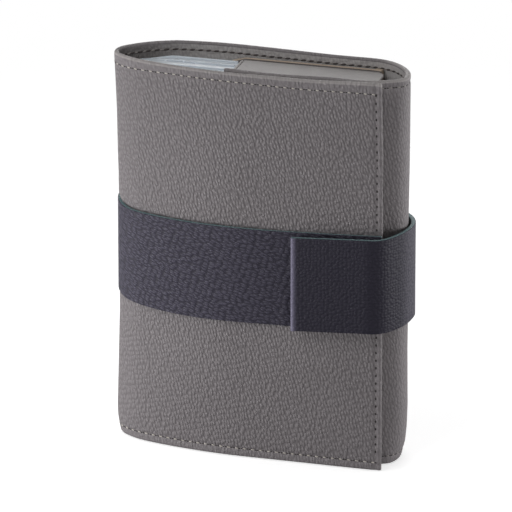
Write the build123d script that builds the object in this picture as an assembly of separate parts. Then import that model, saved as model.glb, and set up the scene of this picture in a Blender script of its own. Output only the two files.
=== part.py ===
from build123d import *

import math
import os

# A weekly pill organizer: a leather wallet that stands upright, with a strap round it and a pill tray inside.
# Millimetres. X runs to the right along the front, Y from front to back, Z up. The solids are drawn about the
# middle of the wallet and moved on export, so that the origin is the bottom centre of the whole object.

# Wallet
case_height = 160.0
case_width = 118.5
case_thickness = 34.6
leather_thickness = 1.3
glue_gap = 0.05
lining_thickness = 1.1
lining_inset = 0.5
board_thickness = 0.6
board_margin = 9.0
cover_setback = 5.9
right_end_radius = 19.0

# Left fold, as turns of the leather's outer face from the front sheet to the back sheet
fold_front_share = 0.503
fold_tip_radius = 8.0
front_shoulder_radius = 30.0
back_shoulder_radius = 26.0
front_sweep_angle = 16.0
front_shoulder_angle = 22.0
back_shoulder_angle = 27.0
back_sweep_angle = 18.0
quarter_turn = 90.0

# Inner flap, from the right end to its free edge behind the cover
flap_turn_radius = 8.0
flap_sweep_radius = 34.8
flap_clearance = 0.4
flap_tuck = 8.6

# Strap
strap_width = 40.0
strap_bottom = 57.0
strap_thickness = 1.8
strap_gap = 0.1
strap_loop_gap = 0.9
loop_back_radius = 23.0
loop_back_angle = 45.0
tail_bend_radius = 10.0
tail_side_angle = 32.0
tail_bend_angle = 60.0
tail_length = 30.4
pad_thickness = 0.6
pad_clearance = 0.3
pad_inset = 4.0
hook_pad_length = 12.0
loop_pad_length = 24.0

# Leather holders inside the back
pocket_thickness = 0.9
pocket_depth = 1.3
pocket_hem = 3.0
pocket_gap = 0.05
pocket_show = 4.4
pocket_end_gap = 1.0
pocket_bottom = 6.0
pocket_rise = 0.4
pocket_corner_width = 5.5
pocket_corner_drop = 2.0
tab_thickness = 1.0
tab_gap = 0.05
tab_setback = 0.4
tab_overhang = 0.8
tab_lid_gap = 1.4
tab_corner = 6.0
tab_flange_height = 14.0
tab_clearance = 0.2

# Pill tray
tray_bottom = 3.4
tray_rim_depth = 5.0
tray_fold_room = 6.2
tray_end_room = 13.0
tray_flap_room = 2.1
tray_lid_gap = 2.1
tray_wall = 1.3
tray_taper = 13.0
tray_tip_depth = 9.0
tray_tip_radius = 4.0
tray_shoulder_radius = 14.0
tray_shoulder_run = 3.8
tray_right_radius = 4.0
tray_edge_radius = 0.8
side_mouth_inset = 4.0

# Day boxes and their sliding lids
day_count = 7
doses_per_day = 4
box_gap = 0.3
box_wall = 1.3
box_floor = 1.2
box_clearance = 0.15
box_edge_radius = 0.6
lip_thickness = 0.7
lip_width = 1.4
lid_thickness = 1.2
lid_clearance = 0.1
channel_wall = 0.55
grip_height = 1.8
grip_depth = 0.9
grip_gap = 1.6
grip_count = 3
grip_side_margin = 2.4
grip_top_margin = 5.0

overrun = 2.0

# Faces of the wallet and levels of the strap
sheet_thickness = leather_thickness + glue_gap + lining_thickness
left_x = -case_width / 2
right_x = case_width / 2
front_y = -case_thickness / 2
back_y = case_thickness / 2
cover_edge_x = right_x - cover_setback
flap_y = front_y + sheet_thickness + flap_clearance
strap_out = strap_gap + strap_thickness
strap_top = strap_bottom + strap_width
strap_z = (strap_bottom, strap_top)


def cosine(degrees):
    return math.cos(math.radians(degrees))


def sine(degrees):
    return math.sin(math.radians(degrees))


# A run is a list of straight stretches (length,) and right-hand bends (radius, angle), each a turn of the
# leather's outer face. A place on it is (x, y, heading), and the inside of the wallet is on its right.
def beside(place, inward):
    x, y, heading = place
    return x + inward * sine(heading), y - inward * cosine(heading)


def follow(place, stretch):
    x, y, heading = place
    if len(stretch) == 1:
        (length,) = stretch
        return x + length * cosine(heading), y + length * sine(heading), heading
    radius, angle = stretch
    turned = heading - angle
    along = radius * (sine(heading) - sine(turned))
    across = radius * (cosine(turned) - cosine(heading))
    return x + along, y + across, turned


def end_of(place, run):
    for stretch in run:
        place = follow(place, stretch)
    return place


def trace(place, run, inward):
    edges = []
    for stretch in run:
        end = follow(place, stretch)
        if len(stretch) == 1:
            edges.append(Line(beside(place, inward), beside(end, inward)))
        else:
            radius, angle = stretch
            middle = follow(place, (radius, angle / 2))
            edges.append(ThreePointArc(beside(place, inward), beside(middle, inward), beside(end, inward)))
        place = end
    return edges


def ribbon(place, run, outer, inner, levels):
    low, high = levels
    end = end_of(place, run)
    edges = trace(place, run, outer) + trace(place, run, inner)
    edges.append(Line(beside(place, outer), beside(place, inner)))
    edges.append(Line(beside(end, outer), beside(end, inner)))
    return Pos(0, 0, low) * extrude(make_face(edges), amount=high - low, dir=(0, 0, 1))


def block(x_span, y_span, z_span):
    spans = (x_span, y_span, z_span)
    size = [high - low for low, high in spans]
    middle = [(high + low) / 2 for low, high in spans]
    return Pos(*middle) * Box(*size)


# The wallet's run, from the cover's free edge round the left fold, the back and the right end to the flap
front_tip_angle = quarter_turn - front_sweep_angle - front_shoulder_angle
back_tip_angle = quarter_turn - back_sweep_angle - back_shoulder_angle
front_depth = case_thickness * fold_front_share
back_depth = case_thickness - front_depth
front_shoulder_end = front_sweep_angle + front_shoulder_angle
back_shoulder_end = back_sweep_angle + back_shoulder_angle
front_shoulder_rise = front_shoulder_radius * (cosine(front_sweep_angle) - cosine(front_shoulder_end))
back_shoulder_rise = back_shoulder_radius * (cosine(back_sweep_angle) - cosine(back_shoulder_end))
front_rest = front_depth - front_shoulder_rise - fold_tip_radius * cosine(front_shoulder_end)
back_rest = back_depth - back_shoulder_rise - fold_tip_radius * cosine(back_shoulder_end)
front_sweep_radius = front_rest / (1 - cosine(front_sweep_angle))
back_sweep_radius = back_rest / (1 - cosine(back_sweep_angle))

spine_front_run = [(front_shoulder_radius, front_shoulder_angle), (fold_tip_radius, front_tip_angle)]
spine_rear_run = [(fold_tip_radius, back_tip_angle), (back_shoulder_radius, back_shoulder_angle)]
front_sweep = (front_sweep_radius, front_sweep_angle)
back_sweep = (back_sweep_radius, back_sweep_angle)
right_end = (right_end_radius, quarter_turn)

west = 2 * quarter_turn
curved_x, _, _ = end_of((0, 0, west), [front_sweep] + spine_front_run)
front_flat = cover_edge_x - (left_x - curved_x)
rear_x, _, _ = end_of((left_x, 0, quarter_turn), spine_rear_run + [back_sweep])
back_flat = right_x - right_end_radius - rear_x

flap_edge_x = cover_edge_x - front_flat - flap_tuck
flap_drop = back_y - right_end_radius - flap_y
flap_sweep_cosine = (flap_sweep_radius - flap_drop) / (flap_sweep_radius - flap_turn_radius)
flap_sweep_angle = math.degrees(math.acos(flap_sweep_cosine))
flap_bends = [(flap_turn_radius, quarter_turn - flap_sweep_angle), (flap_sweep_radius, flap_sweep_angle)]

cover_start = (cover_edge_x, front_y, west)
cover_run = [(front_flat,), front_sweep]
spine_front_start = end_of(cover_start, cover_run)
spine_rear_start = end_of(spine_front_start, spine_front_run)
back_start = end_of(spine_rear_start, spine_rear_run)
back_run = [back_sweep, (back_flat,), right_end]
back_flat_start = follow(back_start, back_sweep)
flap_start = end_of(back_start, back_run)
flap_bend_x, _, _ = end_of(flap_start, flap_bends)
flap_flat = flap_bend_x - flap_edge_x
flap_run = flap_bends + [(flap_flat,)]

# The strap's loop round the right end stands off the leather, and its tail comes back over the front
loop_start = (right_x - right_end_radius, back_y + strap_out, 0)
loop_reach = right_end_radius + strap_loop_gap + strap_thickness
loop_side_angle = quarter_turn - loop_back_angle
loop_side_rest = loop_reach - loop_back_radius * sine(loop_back_angle)
loop_side_radius = loop_side_rest / (1 - sine(loop_back_angle))
loop_run = [(loop_back_radius, loop_back_angle), (loop_side_radius, loop_side_angle)]
tail_start = end_of(loop_start, loop_run)

tail_turn = tail_side_angle + tail_bend_angle
tail_y = front_y - strap_out - 2 * pad_thickness - pad_clearance - strap_thickness
tail_bend_drop = tail_bend_radius * (sine(tail_turn) - sine(tail_side_angle))
tail_rise = tail_length * sine(tail_turn - quarter_turn)
tail_side_drop = tail_start[1] - tail_y - tail_bend_drop + tail_rise
tail_side = (tail_side_drop / sine(tail_side_angle), tail_side_angle)
tail_run = [tail_side, (tail_bend_radius, tail_bend_angle), (tail_length,)]

# Faces and levels of what the wallet holds
pocket_back = back_y - sheet_thickness - pocket_gap
pocket_front = pocket_back - pocket_depth - pocket_thickness
flange_back = pocket_front - tab_gap
flange_front = flange_back - tab_thickness
tray_left = left_x + tray_fold_room
tray_right = right_x - tray_end_room
tray_front = flap_y + sheet_thickness + tray_flap_room
tray_back = flange_front - tab_gap
tray_top = case_height - tray_rim_depth
channel_front = tray_front + lip_thickness
channel_back = channel_front + lid_thickness + 2 * lid_clearance
tray_top_front = channel_back + tray_lid_gap
tab_left = flap_edge_x + tab_setback
tab_right = tray_right + tab_overhang
tab_front = channel_back + tab_lid_gap
pocket_left = tab_left - pocket_show
pocket_right = right_x - right_end_radius - pocket_end_gap
pocket_top = tray_top + tab_clearance + tab_thickness + pocket_rise
shoulder_x = tray_left + tray_taper
boxes_left = shoulder_x + tray_shoulder_run
boxes_right = tray_right - tray_right_radius
box_width = (boxes_right - boxes_left + box_gap) / day_count - box_gap
box_back = tray_back - tray_wall - box_clearance
box_bottom = tray_bottom + tray_wall + box_clearance
box_top = tray_top - tray_wall - box_clearance
dose_height = (box_top - box_bottom - (doses_per_day + 1) * box_floor) / doses_per_day


def strap_place(place):
    return (*beside(place, -strap_out), place[2])


def strap_run(run):
    return [stretch if len(stretch) == 1 else (stretch[0] + strap_out, stretch[1]) for stretch in run]


def leather(place, run):
    return ribbon(place, run, 0, leather_thickness, (0, case_height))


def lining(place, run):
    levels = (lining_inset, case_height - lining_inset)
    return ribbon(place, run, leather_thickness + glue_gap, sheet_thickness, levels)


def board(place, length, gap):
    start = follow(place, (board_margin - gap,))
    levels = (board_margin - gap, case_height - board_margin + gap)
    outer = leather_thickness + glue_gap - gap
    run = [(length - 2 * (board_margin - gap),)]
    return ribbon(start, run, outer, outer + board_thickness + 2 * gap, levels)


def strap(place, run):
    return ribbon(strap_place(place), strap_run(run), 0, strap_thickness, strap_z)


def cover_lining():
    start = follow(cover_start, (lining_inset,))
    sheet = lining(start, [(front_flat - lining_inset,), front_sweep])
    return sheet - board(cover_start, front_flat, glue_gap)


def back_lining():
    return lining(back_start, back_run) - board(back_flat_start, back_flat, glue_gap)


def flap_lining():
    return lining(flap_start, flap_bends + [(flap_flat - lining_inset,)])


def strap_back():
    run = strap_run([back_sweep, (back_flat,)]) + loop_run
    return ribbon(strap_place(back_start), run, 0, strap_thickness, strap_z)


def pad_levels():
    return strap_bottom + pad_inset, strap_top - pad_inset


def hook_pad():
    straight = end_of(tail_start, tail_run[:-1])
    start = follow(straight, (tail_length - pad_inset - hook_pad_length,))
    inner = strap_thickness + pad_thickness
    return ribbon(start, [(hook_pad_length,)], strap_thickness, inner, pad_levels())


def loop_pad():
    tip_x = end_of(tail_start, tail_run)[0]
    start = (tip_x + pad_inset + loop_pad_length, front_y, west)
    return ribbon(start, [(loop_pad_length,)], -strap_out - pad_thickness, -strap_out, pad_levels())


# A flat pocket for papers: a front sheet on a hem that is sewn to the lining at the sides and below
def document_pocket():
    spread = (pocket_left, pocket_right)
    levels = (pocket_bottom, pocket_top)
    sheet = block(spread, (pocket_front, pocket_front + pocket_thickness), levels)
    rim = block(spread, (pocket_front, pocket_back), levels)
    inside = (pocket_left + pocket_hem, pocket_right - pocket_hem)
    room = block(inside, (pocket_front, pocket_back), (pocket_bottom + pocket_hem, pocket_top))
    pocket = sheet + (rim - room)
    upper_left = pocket.edges().filter_by(Axis.Y).group_by(Axis.Z)[-1].sort_by(Axis.X)[0]
    return chamfer(upper_left, pocket_corner_drop, pocket_corner_width)


# The light tabs over and under the tray, each with a flange that is sewn on behind it
def tab_plate(level):
    middle = ((tab_left + tab_right) / 2, (tab_front + flange_back) / 2)
    outline = Pos(*middle) * Rectangle(tab_right - tab_left, flange_back - tab_front)
    corners = outline.vertices().group_by(Axis.X)[-1]
    plate = extrude(fillet(corners, tab_corner), amount=tab_thickness, dir=(0, 0, 1))
    return Pos(0, 0, level) * plate


def tab_flange(low, high):
    return block((tab_left, tab_right - tab_corner), (flange_front, flange_back), (low, high))


def top_tab():
    level = tray_top + tab_clearance
    return tab_plate(level) + tab_flange(level - tab_flange_height, level + tab_thickness)


def bottom_tab():
    level = tray_bottom - tab_clearance - tab_thickness
    return tab_plate(level) + tab_flange(level, level + tab_flange_height)


# The clear tray is a shell that narrows towards the left fold, open to the front where the day boxes stand
def tray_outline():
    middle = (tray_front + tray_back) / 2
    tip_front, tip_back = middle - tray_tip_depth / 2, middle + tray_tip_depth / 2
    front = [(tray_left, tip_front), (shoulder_x, tray_front), (tray_right, tray_front)]
    back = [(tray_right, tray_back), (shoulder_x, tray_back), (tray_left, tip_back)]
    outline = make_face(Polyline(*front, *back, close=True))
    for row, radius in ((-1, tray_right_radius), (1, tray_shoulder_radius), (0, tray_tip_radius)):
        outline = fillet(outline.vertices().group_by(Axis.X)[row], radius)
    return outline


def pill_tray():
    outline = tray_outline()
    shell = Pos(0, 0, tray_bottom) * extrude(outline, amount=tray_top - tray_bottom, dir=(0, 0, 1))
    rims = shell.faces().filter_by(Axis.Z).edges()
    shell = fillet(rims, tray_edge_radius)
    low, high = tray_bottom + tray_wall, tray_top - tray_wall
    shell -= Pos(0, 0, low) * extrude(offset(outline, -tray_wall), amount=high - low, dir=(0, 0, 1))
    rib_right = boxes_left - box_clearance
    rib = block((rib_right - tray_wall, rib_right), (tray_front + tray_wall, tray_back - tray_wall), (low, high))
    shell += rib
    side_mouth = (tray_left + side_mouth_inset, rib_right - tray_wall)
    shell -= block(side_mouth, (tray_front - overrun, (tray_front + tray_back) / 2), (low, high))
    row = (rib_right, boxes_right + box_clearance)
    shell -= block(row, (tray_front - overrun, tray_front + tray_wall + box_clearance), (low, high))
    return shell - block(row, (tray_front - overrun, tray_top_front), (high, tray_top + overrun))


def day_left(day):
    return boxes_left + day * (box_width + box_gap)


def day_box(day):
    left = day_left(day)
    right = left + box_width
    box = block((left, right), (tray_front, box_back), (box_bottom, box_top))
    box = fillet(box.edges().filter_by(Axis.Z), box_edge_radius)
    channel_levels = (box_bottom + box_floor, box_top + overrun)
    box -= block((left + channel_wall, right - channel_wall), (channel_front, channel_back), channel_levels)
    box -= block((left + lip_width, right - lip_width), (tray_front - overrun, channel_front), channel_levels)
    for dose in range(doses_per_day):
        floor = box_bottom + box_floor + dose * (dose_height + box_floor)
        room = (channel_back, box_back - box_wall)
        box -= block((left + box_wall, right - box_wall), room, (floor, floor + dose_height))
    return box


def day_lid(day):
    left = day_left(day)
    right = left + box_width
    edge = channel_wall + lid_clearance
    lid_front = channel_front + lid_clearance
    bottom = box_bottom + box_floor + lid_clearance
    lid = block((left + edge, right - edge), (lid_front, lid_front + lid_thickness), (bottom, box_top))
    for grip in range(grip_count):
        high = box_top - grip_top_margin - grip * (grip_height + grip_gap)
        ridge = block(
            (left + grip_side_margin, right - grip_side_margin),
            (lid_front - grip_depth, lid_front),
            (high - grip_height, high),
        )
        lid += ridge
    return lid


parts = {
    "cover_leather": leather(cover_start, cover_run),
    "cover_lining": cover_lining(),
    "cover_board": board(cover_start, front_flat, 0),
    "strap_front": strap(cover_start, cover_run),
    "loop_pad": loop_pad(),
    "spine_front_leather": leather(spine_front_start, spine_front_run),
    "spine_front_lining": lining(spine_front_start, spine_front_run),
    "strap_spine_front": strap(spine_front_start, spine_front_run),
    "spine_rear_leather": leather(spine_rear_start, spine_rear_run),
    "spine_rear_lining": lining(spine_rear_start, spine_rear_run),
    "strap_spine_rear": strap(spine_rear_start, spine_rear_run),
    "back_leather": leather(back_start, back_run),
    "back_lining": back_lining(),
    "back_board": board(back_flat_start, back_flat, 0),
    "strap_back": strap_back(),
    "flap_leather": leather(flap_start, flap_run),
    "flap_lining": flap_lining(),
    "strap_tail": ribbon(tail_start, tail_run, 0, strap_thickness, strap_z),
    "hook_pad": hook_pad(),
    "document_pocket": document_pocket(),
    "top_tab": top_tab(),
    "bottom_tab": bottom_tab(),
    "pill_tray": pill_tray(),
}
for day in range(day_count):
    parts[f"day_box_{day + 1}"] = day_box(day)
    parts[f"day_lid_{day + 1}"] = day_lid(day)

# The whole object's box: the strap at the left fold, its loop at the right, the tail's bulge and the back strap
left_most = left_x - strap_out
right_most = right_x + strap_loop_gap + strap_thickness
bulge = (tail_bend_radius, quarter_turn - tail_side_angle)
front_most = end_of(tail_start, [tail_side, bulge])[1]
back_most = back_y + strap_out
middle_x = (left_most + right_most) / 2
middle_y = (front_most + back_most) / 2

os.makedirs("parts", exist_ok=True)
for name, solid in parts.items():
    export_step(Pos(-middle_x, -middle_y, 0) * solid, f"parts/{name}.step")
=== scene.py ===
import math
from itertools import accumulate

import bpy
import numpy as np
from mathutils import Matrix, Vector


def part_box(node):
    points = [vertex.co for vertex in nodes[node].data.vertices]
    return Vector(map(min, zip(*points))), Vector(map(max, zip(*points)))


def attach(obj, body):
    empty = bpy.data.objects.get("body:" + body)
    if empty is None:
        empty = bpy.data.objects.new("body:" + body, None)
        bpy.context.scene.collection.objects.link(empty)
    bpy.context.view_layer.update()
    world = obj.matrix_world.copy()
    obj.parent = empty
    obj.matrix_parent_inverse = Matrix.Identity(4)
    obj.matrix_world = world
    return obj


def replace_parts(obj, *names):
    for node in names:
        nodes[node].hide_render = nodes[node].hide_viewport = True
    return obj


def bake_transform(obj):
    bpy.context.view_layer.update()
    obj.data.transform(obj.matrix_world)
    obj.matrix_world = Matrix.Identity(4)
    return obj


# A weekly pill organizer: a grey leather wallet with a navy strap round it and a clear pill tray inside.
# Sizes are millimetres about the middle of the closed wallet, as in the part's own source, and each piece is
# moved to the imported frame, in metres, when its mesh is made.

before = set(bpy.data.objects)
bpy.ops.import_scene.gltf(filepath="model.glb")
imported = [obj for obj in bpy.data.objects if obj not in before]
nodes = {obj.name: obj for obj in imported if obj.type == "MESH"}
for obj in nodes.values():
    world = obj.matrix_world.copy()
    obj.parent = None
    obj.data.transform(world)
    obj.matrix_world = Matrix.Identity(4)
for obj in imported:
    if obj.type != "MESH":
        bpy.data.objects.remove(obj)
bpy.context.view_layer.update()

MM = 0.001
quarter_turn = 90.0
half_turn = 180.0

# Wallet
case_height = 160.0
case_width = 118.5
case_thickness = 34.6
leather_thickness = 1.3
sheet_thickness = 2.45
cover_setback = 5.9
right_end_radius = 19.0
fold_front_share = 0.503
fold_tip_radius = 8.0
front_shoulder_radius = 30.0
back_shoulder_radius = 26.0
front_sweep_angle = 16.0
front_shoulder_angle = 22.0
back_shoulder_angle = 27.0
back_sweep_angle = 18.0
flap_turn_radius = 8.0
flap_sweep_radius = 34.8
flap_clearance = 0.4
flap_tuck = 8.6

# Strap
strap_width = 40.0
strap_bottom = 57.0
strap_thickness = 1.8
strap_gap = 0.1
fold_lift = 3.2
fold_narrowing = 2.2
fold_narrow_reach = 26.0
strap_loop_gap = 0.9
loop_back_radius = 23.0
loop_back_angle = 45.0
tail_bend_radius = 10.0
tail_side_angle = 32.0
tail_bend_angle = 60.0
tail_length = 30.4
pad_thickness = 0.6
pad_clearance = 0.3
pad_inset = 4.0
hook_pad_length = 12.0

# Sewn edges
hem_thickness = 2.1
hem_depth = 8.0
hem_step = 0.4
lining_outer = 1.97
lining_inner = 2.42
lining_edge = 0.2
lining_step = 1.5
top_row_drop = 4.4
cover_row_marks = (0.0, 26.0, 60.0, 87.0)
cover_row_drops = (4.5, 4.05, 3.65, 3.55)
end_row_drop = 3.1
end_row_lead = 20.0
end_row_hold = 14.0
end_row_fade = 40.0
bottom_row_rise = 3.4
edge_row_inset = 2.25
inner_row_drop = 3.35
row_pitch = 3.3
edge_row_pitch = 3.2
edge_row_first = 2
row_end_gap = 1.0
groove_depth = 0.32
groove_width = 0.8
fold_smoothing = 16.0
slow_wave = 0.16
slow_lengths = (17.0, 23.0, 41.0)
slow_start = 0.6
quick_wave = 0.08
quick_lengths = (7.3, 11.0)
cover_corner = 0.8

# How the leather gives: shifts of the left fold and of the right end by height, and the pinch under the strap
left_levels = (0.0, 2.0, 4.0, 7.0, 11.0, 20.0, 52.0, 110.0, 135.0, 160.0)
left_shifts = (0.6, 0.1, -0.3, -0.8, -1.0, -0.8, 0.2, 0.3, -0.3, -1.6)
right_levels = (0.0, 3.0, 7.0, 13.0, 22.0, 45.0, 108.0, 160.0)
right_shifts = (-2.5, -1.6, -0.7, -0.1, 0.2, -0.2, 0.2, 0.6)
left_reach = 30.0
right_reach = 6.0
back_rise = 118.0
back_marks = (-40.0, -15.0, 25.0, 50.0)
back_pushes = (3.6, 2.2, 0.0, 0.0)
back_reach = (2.0, 12.0)
corner_rise = 1.1
corner_draw = 0.6
corner_reach = (18.0, 53.0)
corner_heights = (125.0, 160.0)
front_reach = (-13.8, -14.6)
strap_pinch = 1.7
pinch_edge = 2.5
flap_front = (-4.0, -9.0)
flap_inset = 0.5
flap_lean = 0.25
flap_gape = 1.3
flap_end_lean = 1.2
flap_end_reach = 18.0
gape_bottom = 138.0
gape_left = 12.0
gape_right = 52.0

# Tabs and pocket
tab_thickness = 1.0
tab_corner = 6.0
tab_bend = 1.6
tab_edge = 0.45
tab_row_inset = 1.3
tab_row_pitch = 2.3
tab_row_margin = 1.5
tab_stitch = (0.5, 1.0, 0.4)
tab_hole = (0.55, 1.3, 0.24)
pocket_thickness = 0.9
pocket_edge = 0.3
pocket_hem = 3.0
pocket_corner_width = 5.5
pocket_corner_drop = 2.0
pocket_end_angle = 18.0

# Faces and runs of the wallet
right_x = case_width / 2
left_x = -right_x
back_y = case_thickness / 2
front_y = -back_y
cover_edge_x = right_x - cover_setback
flap_y = front_y + sheet_thickness + flap_clearance
strap_out = strap_gap + strap_thickness
strap_top = strap_bottom + strap_width
_, high_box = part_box("back_leather")
middle_x = right_x - high_box.x / MM
middle_y = back_y - high_box.y / MM
frame_middle = np.array([middle_x, middle_y, 0])


def cosine(degrees):
    return math.cos(math.radians(degrees))


def sine(degrees):
    return math.sin(math.radians(degrees))


# A run is a list of straight stretches (length,) and right-hand bends (radius, angle) of a sheet's outer
# face. A place on it is (x, y, heading), and depth is measured into the sheet, to the right of the heading.
def beside(place, depth):
    x, y, heading = place
    return x + depth * sine(heading), y - depth * cosine(heading)


def follow(place, stretch):
    x, y, heading = place
    if len(stretch) == 1:
        (length,) = stretch
        return x + length * cosine(heading), y + length * sine(heading), heading
    radius, angle = stretch
    turned = heading - angle
    along = radius * (sine(heading) - sine(turned))
    across = radius * (cosine(turned) - cosine(heading))
    return x + along, y + across, turned


def end_of(place, run):
    for stretch in run:
        place = follow(place, stretch)
    return place


def length_of(run):
    return sum(stretch[0] if len(stretch) == 1 else stretch[0] * math.radians(stretch[1]) for stretch in run)


def locate(route, distance):
    place, run = route
    for stretch in run[:-1]:
        length = length_of([stretch])
        if distance <= length:
            break
        distance -= length
        place = follow(place, stretch)
    else:
        stretch = run[-1]
    if len(stretch) == 1:
        return follow(place, (distance,))
    return follow(place, (stretch[0], math.degrees(distance / stretch[0])))


front_shoulder_end = front_sweep_angle + front_shoulder_angle
back_shoulder_end = back_sweep_angle + back_shoulder_angle
front_depth = case_thickness * fold_front_share
back_depth = case_thickness - front_depth
front_shoulder_rise = front_shoulder_radius * (cosine(front_sweep_angle) - cosine(front_shoulder_end))
back_shoulder_rise = back_shoulder_radius * (cosine(back_sweep_angle) - cosine(back_shoulder_end))
front_rest = front_depth - front_shoulder_rise - fold_tip_radius * cosine(front_shoulder_end)
back_rest = back_depth - back_shoulder_rise - fold_tip_radius * cosine(back_shoulder_end)
front_sweep = (front_rest / (1 - cosine(front_sweep_angle)), front_sweep_angle)
back_sweep = (back_rest / (1 - cosine(back_sweep_angle)), back_sweep_angle)
right_end = (right_end_radius, quarter_turn)
front_tip = (fold_tip_radius, quarter_turn - front_shoulder_end)
back_tip = (fold_tip_radius, quarter_turn - back_shoulder_end)
spine_front_run = [(front_shoulder_radius, front_shoulder_angle), front_tip]
spine_rear_run = [back_tip, (back_shoulder_radius, back_shoulder_angle)]

curved_x, _, _ = end_of((0, 0, half_turn), [front_sweep] + spine_front_run)
front_flat = cover_edge_x - (left_x - curved_x)
rear_x, _, _ = end_of((left_x, 0, quarter_turn), spine_rear_run + [back_sweep])
back_flat = right_x - right_end_radius - rear_x
flap_edge_x = cover_edge_x - front_flat - flap_tuck
flap_drop = back_y - right_end_radius - flap_y
flap_sweep_cosine = (flap_sweep_radius - flap_drop) / (flap_sweep_radius - flap_turn_radius)
flap_sweep_angle = math.degrees(math.acos(flap_sweep_cosine))
flap_bends = [(flap_turn_radius, quarter_turn - flap_sweep_angle), (flap_sweep_radius, flap_sweep_angle)]
cover_start = (cover_edge_x, front_y, half_turn)
cover_run = [(front_flat,), front_sweep]
back_run = [back_sweep, (back_flat,), right_end]
flap_start = (right_x, back_y - right_end_radius, -quarter_turn)
flap_run = flap_bends + [(end_of(flap_start, flap_bends)[0] - flap_edge_x,)]

wallet_runs = [cover_run, spine_front_run, spine_rear_run, back_run, flap_run]
wallet = (cover_start, sum(wallet_runs, []))
cover_end, fold_middle, back_begin, flap_begin, wallet_end = accumulate(map(length_of, wallet_runs))
cover_cut = (cover_end + fold_middle) / 2
spine_cut = (fold_middle + back_begin) / 2
flap_cut = flap_begin - length_of([right_end]) / 2


# The strap lies outside the wallet's run, then loops round the right end and ends in its tail
def strap_over(run):
    return [stretch if len(stretch) == 1 else (stretch[0] + strap_out, stretch[1]) for stretch in run]


loop_reach = right_end_radius + strap_loop_gap + strap_thickness
loop_side_rest = loop_reach - loop_back_radius * sine(loop_back_angle)
loop_side = (loop_side_rest / (1 - sine(loop_back_angle)), quarter_turn - loop_back_angle)
loop_run = [(loop_back_radius, loop_back_angle), loop_side]
strap_start = (*beside(cover_start, -strap_out), half_turn)
strap_runs = [strap_over(run) for run in (cover_run, spine_front_run, spine_rear_run)]
strap_runs.append(strap_over([back_sweep, (back_flat,)]) + loop_run)
tail_start = end_of(strap_start, sum(strap_runs, []))
tail_turn = tail_side_angle + tail_bend_angle
tail_y = front_y - strap_out - 2 * pad_thickness - pad_clearance - strap_thickness
tail_bend_drop = tail_bend_radius * (sine(tail_turn) - sine(tail_side_angle))
tail_rise = tail_length * sine(tail_turn - quarter_turn)
tail_side_drop = tail_start[1] - tail_y - tail_bend_drop + tail_rise
tail_side = (tail_side_drop / sine(tail_side_angle), tail_side_angle)
strap_runs.append([tail_side, (tail_bend_radius, tail_bend_angle), (tail_length,)])

strap = (strap_start, sum(strap_runs, []))
strap_marks = accumulate(map(length_of, strap_runs))
strap_cover_end, strap_fold_middle, strap_back_begin, tail_begin, strap_end = strap_marks
loop_begin = tail_begin - length_of(loop_run)
strap_cover_cut = (strap_cover_end + strap_fold_middle) / 2
strap_spine_cut = (strap_fold_middle + strap_back_begin) / 2
turn_cut = tail_begin - length_of([loop_side]) / 2


# Meshes
end_steps = 6
end_band = 4.0
end_step = 0.5
least_step = 0.02
rim_band = 3.0
level_step = 0.4
hem_overrun = 1.6
middle_step = 2.0
wide_rim = 0.5
wide_rim_steps = 6
narrow_rim_steps = 4
full_round_gap = 0.01
full_round_share = 0.97
least_squeeze = 0.06


def smooth_step(low, high, value):
    share = np.clip((value - low) / (high - low), 0, 1)
    return share * share * (3 - 2 * share)


def bell(value, middle, width):
    return np.exp(-(((value - middle) / width) ** 2))


def to_frame(points):
    return (np.asarray(points, float) - frame_middle) * MM


def node_box(name):
    return [np.array(corner) / MM + frame_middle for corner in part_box(name)]


def give(points, height, pinched):
    x = points[:, 0]
    left = np.interp(height, left_levels, left_shifts) * (1 - pinched) + strap_pinch * pinched
    right = np.interp(height, right_levels, right_shifts)
    moved = points.copy()
    moved[:, 0] += left * smooth_step(left_x + left_reach, left_x, x)
    moved[:, 0] += right * smooth_step(right_x - right_reach, right_x, x)
    return moved


def wallet_shape(points):
    x, y, height = points.T
    pinch_bottom = strap_bottom + fold_lift + fold_narrowing
    pinch_top = strap_top + fold_lift - pinch_edge
    above = smooth_step(pinch_bottom - pinch_edge, pinch_bottom, height)
    below = smooth_step(pinch_top + pinch_edge, pinch_top, height)
    moved = give(points, height, above * below)
    push = np.interp(x, (left_x, *back_marks), (0, *back_pushes))
    moved[:, 1] += push * smooth_step(*back_reach, y) * smooth_step(back_rise, case_height, height)
    corner = smooth_step(*corner_reach, x) * smooth_step(*corner_heights, height)
    corner = corner * smooth_step(*front_reach, y)
    moved[:, 0] -= corner_draw * corner
    moved[:, 2] += corner_rise * corner
    return moved


def flap_shape(points):
    moved = wallet_shape(points)
    x, y, height = points.T
    in_front = smooth_step(*flap_front, y)
    middle = np.sin(math.pi * np.clip((x - gape_left) / (gape_right - gape_left), 0, 1)) ** 2
    rising = smooth_step(gape_bottom, case_height, height)
    at_end = flap_end_lean * smooth_step(flap_edge_x + flap_end_reach, flap_edge_x, x)
    moved[:, 1] += in_front * (flap_inset + rising * (flap_lean + flap_gape * middle + at_end))
    return moved


def strap_shape(points):
    return give(points, np.full(len(points), (strap_bottom + strap_top) / 2), 1.0)


def put_in_scene(name, data):
    made = bpy.data.objects.new(name, data)
    bpy.context.scene.collection.objects.link(made)
    return made


def add_object(name, points, faces, materials, face_materials=None, map_points=None):
    mesh = bpy.data.meshes.new(name)
    mesh.from_pydata(to_frame(points).tolist(), [], [list(face) for face in faces])
    for material in materials:
        mesh.materials.append(material)
    if face_materials is not None:
        mesh.polygons.foreach_set("material_index", np.asarray(face_materials, np.int32))
    mesh.polygons.foreach_set("use_smooth", np.ones(len(mesh.polygons), bool))
    if map_points is not None:
        layer = mesh.uv_layers.new(name="run")
        layer.data.foreach_set("uv", np.asarray(map_points, np.float32).ravel())
    mesh.update()
    return put_in_scene(name, mesh)


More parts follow.
